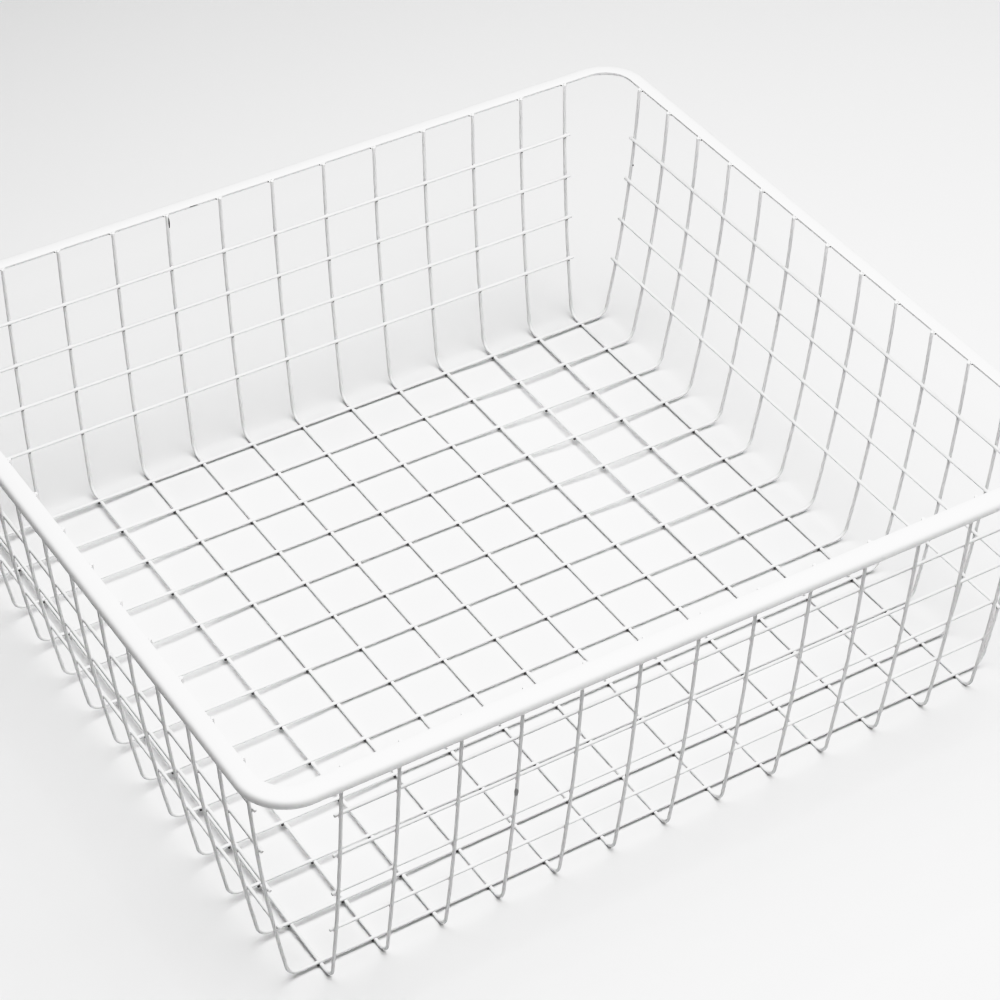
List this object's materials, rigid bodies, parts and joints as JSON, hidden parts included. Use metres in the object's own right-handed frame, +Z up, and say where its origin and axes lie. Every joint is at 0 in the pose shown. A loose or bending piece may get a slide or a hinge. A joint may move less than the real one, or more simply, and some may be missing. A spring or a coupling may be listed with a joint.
{
  "type": "wire basket",
  "caption": "Open rectangular wire basket: crossed U-bent wires form floor and walls, inner rods brace the walls, and a rolled sheet rim with round corners ties the wire ends.",
  "frame": {"origin": "on the ground under the middle of the rim, where the lowest floor wires rest", "axes": "+X along the basket's longer side, +Y towards its back wall, +Z up through the open mouth"},
  "size_m": [0.545, 0.5, 0.18],
  "materials": {
    "wire_coat": "white semi-gloss powder coat on steel wire",
    "rim_coat": "white semi-gloss powder coat on rolled sheet steel"
  },
  "bodies": {
    "root": {"depth_wire_01": "wire_coat", "depth_wire_02": "wire_coat", "depth_wire_03": "wire_coat", "depth_wire_04": "wire_coat", "depth_wire_05": "wire_coat", "depth_wire_06": "wire_coat", "depth_wire_07": "wire_coat", "depth_wire_08": "wire_coat", "depth_wire_09": "wire_coat", "depth_wire_10": "wire_coat", "depth_wire_11": "wire_coat", "depth_wire_12": "wire_coat", "depth_wire_13": "wire_coat", "width_wire_01": "wire_coat", "width_wire_02": "wire_coat", "width_wire_03": "wire_coat", "width_wire_04": "wire_coat", "width_wire_05": "wire_coat", "width_wire_06": "wire_coat", "width_wire_07": "wire_coat", "width_wire_08": "wire_coat", "width_wire_09": "wire_coat", "width_wire_10": "wire_coat", "width_wire_11": "wire_coat", "width_wire_12": "wire_coat", "width_wire_13": "wire_coat", "front_rod_01": "wire_coat", "front_rod_02": "wire_coat", "front_rod_03": "wire_coat", "front_rod_04": "wire_coat", "back_rod_01": "wire_coat", "back_rod_02": "wire_coat", "back_rod_03": "wire_coat", "back_rod_04": "wire_coat", "left_rod_01": "wire_coat", "left_rod_02": "wire_coat", "left_rod_03": "wire_coat", "left_rod_04": "wire_coat", "right_rod_01": "wire_coat", "right_rod_02": "wire_coat", "right_rod_03": "wire_coat", "right_rod_04": "wire_coat", "rim": "rim_coat"}
  },
  "joints": []
}
